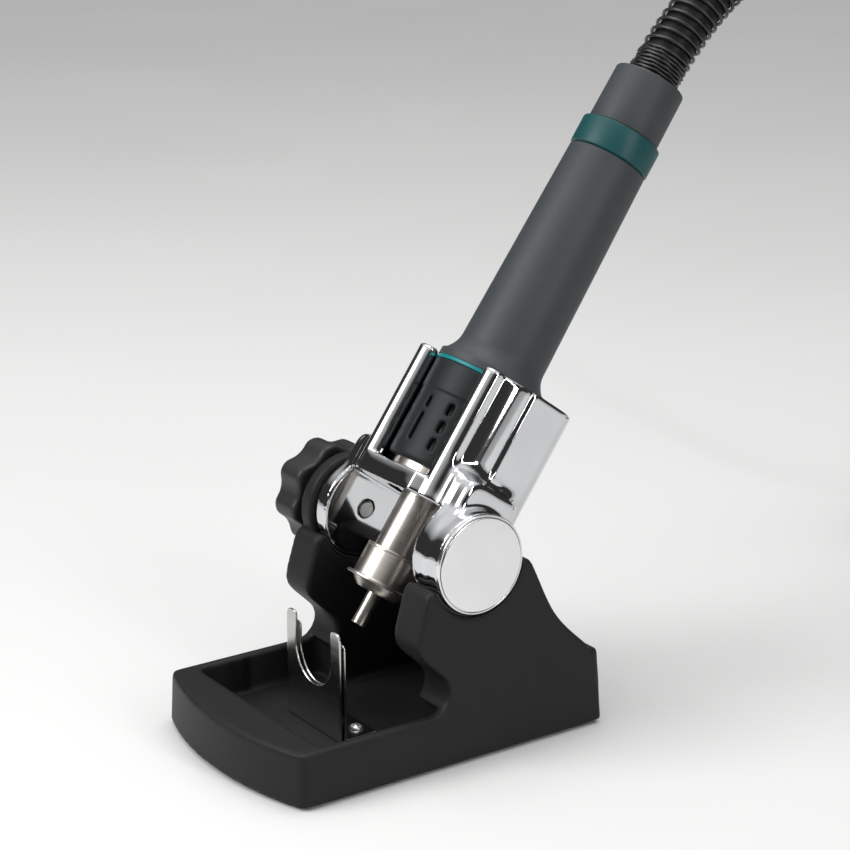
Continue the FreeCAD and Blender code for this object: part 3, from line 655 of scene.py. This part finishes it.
def beyond(y, z, start, end):
    # how far past the line from start to end, on its right
    (y0, z0), (y1, z1) = start, end
    run = math.hypot(y1 - y0, z1 - z0)
    return (y - y0) * (-(z1 - z0) / run) + (z - z0) * ((y1 - y0) / run)


def standShape(graph, x, y, z):
    c, rounding = stand, stand["rounding"]
    edge, fine = rounding["edge"], rounding["fine"]
    wide = abs(x)
    lean = z * math.tan(math.radians(c["draft"]))
    bow, bowY = c["bow"]
    shell = (wide - c["half"] + lean).carve(y - c["back"] + lean, rounding["corner"])
    shell = shell.carve(graph.hypot(x, y - bowY) - bow + lean, rounding["corner"])
    underY, slope = c["under"]
    s, t = math.sin(math.radians(slope)), math.cos(math.radians(slope))
    under = (y - underY) * -s + (z - c["rim"]) * -t
    notchY, notchZ, notch = c["notch"]
    half = math.radians(slope / 2)
    ahead = (y - notchY) * math.cos(half) - (z - notchZ) * math.sin(half)
    fill = (notch - graph.hypot(y - notchY, z - notchZ)).most(notch * math.sin(half) - ahead)
    pivotY, pivotZ = c["pivot"]
    top = (z - c["tops"][1]).most((z - c["tops"][0]).least(pivotY - y))
    a, b, e = c["rear"]
    rear = beyond(y, z, a, b).soft(beyond(y, z, b, e), rounding["rear"])
    cheek = under.least(fill).carve(beyond(y, z, *c["nose"]), rounding["nose"]).carve(top, rounding["top"])
    cheek = cheek.carve(rear, rounding["back"]).carve(y - e[0], rounding["corner"])
    block = (c["block"][0] - y).most(z - c["block"][1])
    body = shell.carve((z - c["rim"]).least(cheek).least(block), edge)
    earRadius, earHalf, earX = c["ear"]
    ear = (graph.hypot(y - pivotY, z - pivotZ) - earRadius).least(
        (abs(y - pivotY) - earHalf).most(between(z, b[1], pivotZ)))
    body = body.least(ear.carve(x - earX, fine).carve(shell, fine))
    trayHalf, front, back, corner = c["tray"]
    tray = (wide - trayHalf).carve(between(y, front, back), 2 * corner)
    tray = tray.carve(c["floor"] - z, rounding["floor"])
    tray = tray.most(z - c["rim"] - c["overRim"])      # no higher, so the cheeks keep their full width
    bay = (wide - c["bay"][0]).carve(between(y, *c["bay"][1:]), fine).carve(c["floor"] - z, rounding["floor"])
    behind = (wide - c["bay"][0]).most(c["behind"][0] - y).most(c["behind"][1] - z)
    saddle, inner = c["saddle"]
    sides = between(x, earX, -inner).least(inner - x)
    saddle = (graph.hypot(y - pivotY, z - pivotZ) - saddle).most(sides)
    spot, face = c["spot"]
    reach = graph.hypot(y - pivotY, z - pivotZ)
    body = body.carve(-tray.least(bay).least(behind), edge).carve(-saddle, rounding["saddle"])
    body = body.most(-(reach - spot).most(x - face)).most(-(reach - c["stud"]).most(x))
    return body.carve(c["foot"] - z, rounding["foot"])


def makeStand():
    body = castPiece("standCasting", standShape, stand["room"], stand["voxel"], finishes["blackCoat"])
    finishPiece(body, "stand", finishes["blackCoat"], ["base_casting"], 50)


makeStand()


# the clamp knob, with scallops round its rim
knob = dict(rim=22.4, inner=-49.6, outer=-64.6, scallops=8, scallop=9.0, reach=28.88, boss=(8.5, -47.6),
            dish=(40.0, 42.0), edge=3.0, dishEdge=1.5, room=((-67, -25, -25), (-45, 25, 25)), voxel=0.6)


def knobShape(graph, x, y, z):
    c = knob
    disc = (graph.hypot(y, z) - c["rim"]).carve(between(x, c["outer"], c["inner"]), c["edge"])
    for i in range(c["scallops"]):
        a = 2 * math.pi * (i + 0.5) / c["scallops"]
        scallop = graph.hypot(y - c["reach"] * math.cos(a), z - c["reach"] * math.sin(a)) - c["scallop"]
        disc = disc.carve(-scallop, c["edge"])
    away, ball = c["dish"]
    dish = graph.hypot(x - c["outer"] + away, y, z) - ball
    radius, end = c["boss"]
    boss = (graph.hypot(y, z) - radius).most(between(x, c["inner"] - 1.0, end))
    return disc.carve(-dish, c["dishEdge"]).least(boss)


def makeKnob():
    body = castPiece("clampKnob", knobShape, knob["room"], knob["voxel"], finishes["knobPlastic"], leanBack)
    finishPiece(body, "knob", finishes["knobPlastic"], ["clamp_knob"], 50)


makeKnob()


# the nozzle fork: two sheets with a round-bottomed notch, on a foot with two screws
fork = dict(half=19.0, floor=6.0, sheet=1.0, fronts=(-33.8, -31.8), tops=(50.5, 45.5), ears=(5.6, 4.2),
            notch=(12.3, 36.8), foot=15.0, screws=(11.4, -21.8), hole=1.7, edge=0.5,
            footCorner=3.0, bend=1.6, margin=1.5, voxel=0.36)
screw = dict(head=2.9, rise=1.8, drive=2.2, slot=0.7, deep=0.9, shank=1.5, reach=4.0, edge=0.6, taper=0.2,
             room=((-3.4, -3.4, -4.5), (3.4, 3.4, 2.2)), voxel=0.13)


def forkShape(index):
    def shape(graph, x, y, z):
        c = fork
        wide = abs(x)
        start, top, ear = c["fronts"][index], c["tops"][index], c["ears"][index]
        notch, notchZ = c["notch"]
        gap = (graph.hypot(x, z - notchZ) - notch).least((wide - notch).most(notchZ - z))
        blank = (wide - c["half"]).carve(z - top, ear).carve(-gap, ear * 0.6)
        sheet = blank.carve(between(y, start, start + c["sheet"]), c["edge"])
        if index:
            foot = (wide - c["half"]).carve(y - start - c["foot"], c["footCorner"]).most(start - y)
            hole = graph.hypot(wide - c["screws"][0], y - c["screws"][1]) - c["hole"]
            foot = foot.carve(z - c["floor"] - c["sheet"], c["edge"]).most(-hole)
            sheet = sheet.soft(foot, c["bend"])
        return sheet.most(c["floor"] - z)
    return shape


def screwShape(graph, x, y, z):
    c = screw
    reach, a, b = graph.hypot(x, y), abs(x), abs(y)
    dome = graph.hypot(x, y, z + c["rise"]) - 2 * c["rise"]
    head = (reach - c["head"]).carve(dome, c["edge"]).most(-z)
    cross = (a - c["slot"] / 2).most(b - c["drive"] + z * c["taper"])
    cross = cross.least((b - c["slot"] / 2).most(a - c["drive"]))
    head = head.most(-cross.most(c["rise"] - c["deep"] - z))
    return head.least((reach - c["shank"]).most(between(z, -c["reach"], 0.5)))


def makeScrews():
    pattern = castPiece("screwPattern", screwShape, screw["room"], screw["voxel"], finishes["screwSteel"])
    tree = bpy.data.node_groups.new("screwTree", "GeometryNodeTree")
    tree.interface.new_socket("Geometry", in_out="OUTPUT", socket_type="NodeSocketGeometry")
    apart = tree.interface.new_socket("Apart", in_out="INPUT", socket_type="NodeSocketVector")
    graph = Graph(tree)
    source = tree.nodes.new("NodeGroupInput")
    row = graph.node("GeometryNodeMeshLine", None, {"Count": 2, "Offset": Link(graph, source.outputs[0])})
    one = graph.node("GeometryNodeObjectInfo", None, {"Object": pattern}, "Geometry")
    endTree(graph, graph.node("GeometryNodeInstanceOnPoints", None, {"Points": row, "Instance": one}),
            finishes["screwSteel"])
    holder = meshPiece("screwHolder", [], [])
    pair = holder.modifiers.new("pair", "NODES")
    pair.node_group = tree
    pair[apart.identifier] = (2 * fork["screws"][0] * mm, 0, 0)
    made = settle(holder, "forkScrews")
    bpy.data.objects.remove(pattern)
    x, y = fork["screws"]
    made.data.transform(Matrix.Translation(Vector((-x, y, fork["floor"] + fork["sheet"])) * mm))
    finishPiece(made, "stand", finishes["screwSteel"], ["fork_screws"], 40)


def makeFork():
    for index, name in enumerate(("forkFront", "forkRear")):
        start = fork["fronts"][index]
        gap, half = fork["margin"], fork["half"] + fork["margin"]
        end = start + (fork["foot"] if index else fork["sheet"]) + gap
        box = ((-half, start - gap, fork["floor"] - gap), (half, end, fork["tops"][index] + gap))
        plate = castPiece(name, forkShape(index), box, fork["voxel"], finishes["sheetSteel"])
        node = ("fork_front_plate", "fork_rear_plate")[index]
        finishPiece(plate, "stand", finishes["sheetSteel"], [node], 50)
    makeScrews()


makeFork()


# the handpiece, all of it turned about the handle's axis
nose = dict(radius=21.9, step=(22.4, 52.6), low=23.6, top=65.0, floor=2.2, throat=18.2, mouth=10.6, columns=6,
            long=((30.5, 12.0, 2.0), (44.5, 5.0, 2.0)),
            short=((29.5, 5.2, 2.7), (37.0, 5.2, 2.7), (44.5, 5.2, 2.7)),
            edge=0.8, foot=3.0, hollowEdge=1.5, slotEnds=0.8, slotEdge=0.7, slotDeep=3.0,
            ring=((9.8, 20.3, 0.3), (18.5, 20.3, 0.6), (18.5, 23.6), (9.8, 23.6)),
            accent=((20.2, 65.0), (22.45, 65.0, 0.25), (22.45, 66.5, 0.25), (20.2, 66.5)),
            room=((-24, -24, 22), (24, 24, 66.5)), voxel=0.5)
grip = dict(rim=22.6, low=66.5, flange=69.8, flare=(17.9, 78.5), lip=0.9, sweep=2.2, end=(16.35, 165.6),
            bore=14.6, seat=(20.2, 69.0), steps=14,
            ring=((13.6, 165.6), (16.0, 165.6), (16.75, 166.2, 0.4), (16.75, 177.6, 0.6), (13.6, 177.6)),
            sleeve=((11.9, 159.6), (13.4, 159.6), (13.4, 177.6), (14.6, 177.7), (15.0, 178.3, 0.3),
                    (14.75, 202.0, 1.3), (12.6, 202.0, 0.3), (11.9, 201.0)))


def noseShape(graph, x, y, z):
    c = nose
    reach = graph.hypot(x, y)
    stepRadius, step = c["step"]
    edge = c["edge"]
    skin = (reach - c["radius"]).carve(c["low"] - z, c["foot"])
    skin = skin.least((reach - stepRadius).carve(step - z, edge)).carve(z - c["top"], edge)
    hollow = (reach - c["throat"]).carve(c["low"] + c["floor"] - z, c["hollowEdge"]).least(reach - c["mouth"])
    body = skin.carve(-hollow, edge)
    angle = graph.node("ShaderNodeMath", {"operation": "ARCTAN2"}, {0: y, 1: x})
    share = math.pi / c["columns"]
    for rows, turn in ((c["short"], 0.0), (c["long"], share)):
        arc = (angle - turn).sum("WRAP", angle - turn, share, -share) * c["radius"]
        for start, length, width in rows:
            across, along = abs(arc) - width / 2, between(z, start, start + length)
            slot = across.carve(along, width * c["slotEnds"]).most(c["throat"] - c["slotDeep"] - reach)
            body = body.carve(-slot, c["slotEdge"])
    return body


def makeNose():
    c = nose
    shell = castPiece("noseShell", noseShape, c["room"], c["voxel"], finishes["nosePlastic"], leanBack)
    finishPiece(shell, "handpiece", finishes["nosePlastic"], ["nose_shell"], 50)
    finishPiece(lathe("noseRing", c["ring"]), "handpiece", finishes["nozzleSteel"],
                ["nose_ring"])
    finishPiece(lathe("accentRing", c["accent"]), "handpiece", finishes["brightTeal"],
                ["accent_ring"])


def makeGrip():
    c = grip
    outline = [(c["rim"], c["low"], 0.3), (c["rim"], c["flange"], 0.7)]
    radius, end = c["flare"]
    drop = c["rim"] - c["lip"] - radius
    for i in range(c["steps"] + 1):
        t = i / c["steps"]
        outline.append((radius + drop * (1 - t) ** c["sweep"], c["flange"] + (end - c["flange"]) * t))
    endRadius, top = c["end"]
    seatRadius, seat = c["seat"]
    outline += [(endRadius, top - 0.4, 0.7), (endRadius - 0.7, top), (c["bore"], top)]
    outline += [(c["bore"], seat), (seatRadius, seat), (seatRadius, c["low"])]
    finishPiece(lathe("gripShell", outline), "handpiece", finishes["gripRubber"], ["grip_shell"])
    finishPiece(lathe("rearRing", c["ring"]), "handpiece", finishes["darkTeal"], ["rear_ring"])
    finishPiece(lathe("endSleeve", c["sleeve"]), "handpiece", finishes["gripRubber"],
                ["end_sleeve"])
    print("grip turned")


makeNose()
makeGrip()


# the heater tube and the nozzle that slides on it
barrel = dict(radius=9.4, wall=0.7, low=-22.0, seat=59.85, flange=(19.8, 61.1))
collar = dict(radius=11.8, top=-10.5, low=-28.0, disc=(14.0, -23.6, -24.8), bore=9.46, inner=8.0, floor=-26.4,
              groove=(-11.9, 0.25), hole=2.97, foot=(4.0, 2.0, 1.6), waist=0.4, stop=-22.3,
              springGroove=(10.36, -13.7, -14.9))
tip = dict(radius=2.95, hole=2.4, end=-41.5, flange=5.45, seat=-26.35, flangeThick=0.75)


def makeNozzle():
    b, c, t = barrel, collar, tip
    wall = b["radius"] - b["wall"]
    flange, top = b["flange"]
    outline = [(wall, b["low"]), (b["radius"], b["low"], 0.25), (b["radius"], b["seat"]), (flange, b["seat"]),
               (flange, top), (wall, top)]
    finishPiece(lathe("heaterBarrel", outline), "handpiece", finishes["nozzleSteel"],
                ["heater_barrel"])
    r, waist = c["radius"], c["radius"] - c["waist"]
    outer, high, low = c["disc"]
    inward, shoulder, rise = c["foot"]
    outline = [(c["hole"], c["low"]), (r - inward, c["low"], 0.8), (r - shoulder, c["low"] + rise, 0.8),
               (waist, low, 0.3),
               (outer, low, 0.35), (outer, high, 0.35), (r, high, 0.5)]
    height, deep = c["groove"]
    outline += [(r, height - 0.25, 0.1), (r - deep, height, 0.1), (r, height + 0.25, 0.1)]
    wide, above, below = c["springGroove"]
    outline += [(r, c["top"], 0.5), (c["bore"], c["top"], 0.2), (c["bore"], above), (wide, above),
                (wide, below), (c["bore"], below), (c["bore"], c["stop"]), (c["inner"], c["stop"]),
                (c["inner"], c["floor"]), (c["hole"], c["floor"])]
    finishPiece(lathe("nozzleCollar", outline), "nozzle", finishes["nozzleSteel"],
                ["nozzle_collar"], 35)
    outline = [(t["hole"], t["end"], 0.1), (t["radius"], t["end"], 0.2), (t["radius"], t["seat"]),
               (t["flange"], t["seat"]), (t["flange"], t["seat"] + t["flangeThick"]),
               (t["hole"], t["seat"] + t["flangeThick"])]
    finishPiece(lathe("nozzleTip", outline), "nozzle", finishes["nozzleSteel"],
                ["nozzle_tip"], 35)
    print("nozzle turned")


makeNozzle()


# the nodes whose shape is right as it is
painted = dict(base_pad="liner", near_saddle_liner="liner", far_saddle_liner="liner", thrust_washer="liner",
               fork_spacers="screwSteel", knob_washer="screwSteel", knob_stud="screwSteel",
               hose_ferrule="screwSteel", nozzle_spring="screwSteel", rest_magnet="nickel",
               heater_core="ceramic", mica_sleeve="mica", air_tube="innerPlastic", switch_board="board",
               reed_switch="reedGlass", connector_pins="brass")
for name, finish in painted.items():
    slots = nodes[name].data.materials
    slots.clear()
    slots.append(finishes[finish])
print("painted", len(painted), "plain nodes")


# the pale floor, the soft lights and a room that is dark below and bright above
floorSize = 6
lights = dict(keyBox=((-0.35, -1.05, 0.95), (0.8, 0.6), 12), topBox=((-0.1, 0.1, 1.5), (0.9, 0.9), 9.5),
              stripBox=((1.0, 0.15, 0.5), (0.07, 0.7), 3))      # place, size and watts
middle = (0, 0, 0.1)
world = dict(bright=0.95, dark=0.04, edge=(0.42, 0.72))


def makeFloor():
    f = floorSize
    floor = meshPiece("floor", [(-f, -f, 0), (f, -f, 0), (f, f, 0), (-f, f, 0)], [(0, 1, 2, 3)])

    def paint(graph, place):
        cloud = noise(graph, place, 2, 2)
        return {"Base Color": shade(graph, cloud, (0.66, 0.66, 0.655), (0.69, 0.69, 0.685)),
                "Roughness": 0.6}
    floor.data.materials.append(makeMaterial("paleFloor", paint))


def makeLight(name, where, aim, size, watts):
    data = bpy.data.lights.new(name, "AREA")
    data.shape = "RECTANGLE"
    data.size, data.size_y = size
    data.energy = watts
    light = bpy.data.objects.new(name, data)
    light.location = where
    light.rotation_euler = (Vector(aim) - Vector(where)).to_track_quat("-Z", "Y").to_euler()
    bpy.context.scene.collection.objects.link(light)


def makeWorld():
    made = bpy.data.worlds.new("room")
    made.use_nodes = True
    made.node_tree.nodes.clear()
    graph = Graph(made.node_tree)
    way = graph.node("ShaderNodeTexCoord", out="Generated")
    height = graph.node("ShaderNodeVectorMath", {"operation": "DOT_PRODUCT"}, {0: way, 1: (0, 0, 1)}, "Value")
    ramp = graph.node("ShaderNodeValToRGB", {"stops": [(world["edge"][0], world["dark"]),
                                                       (world["edge"][1], world["bright"])]}, {0: height})
    room = graph.node("ShaderNodeBackground", None, {"Color": ramp, "Strength": 1.0})
    end = made.node_tree.nodes.new("ShaderNodeOutputWorld")
    made.node_tree.links.new(room.socket, end.inputs[0])
    bpy.context.scene.world = made


makeFloor()
makeWorld()
for name, (where, size, watts) in lights.items():
    makeLight(name, where, middle, size, watts)
print("lights", len(lights))
bpy.context.scene.view_settings.view_transform = "Standard"
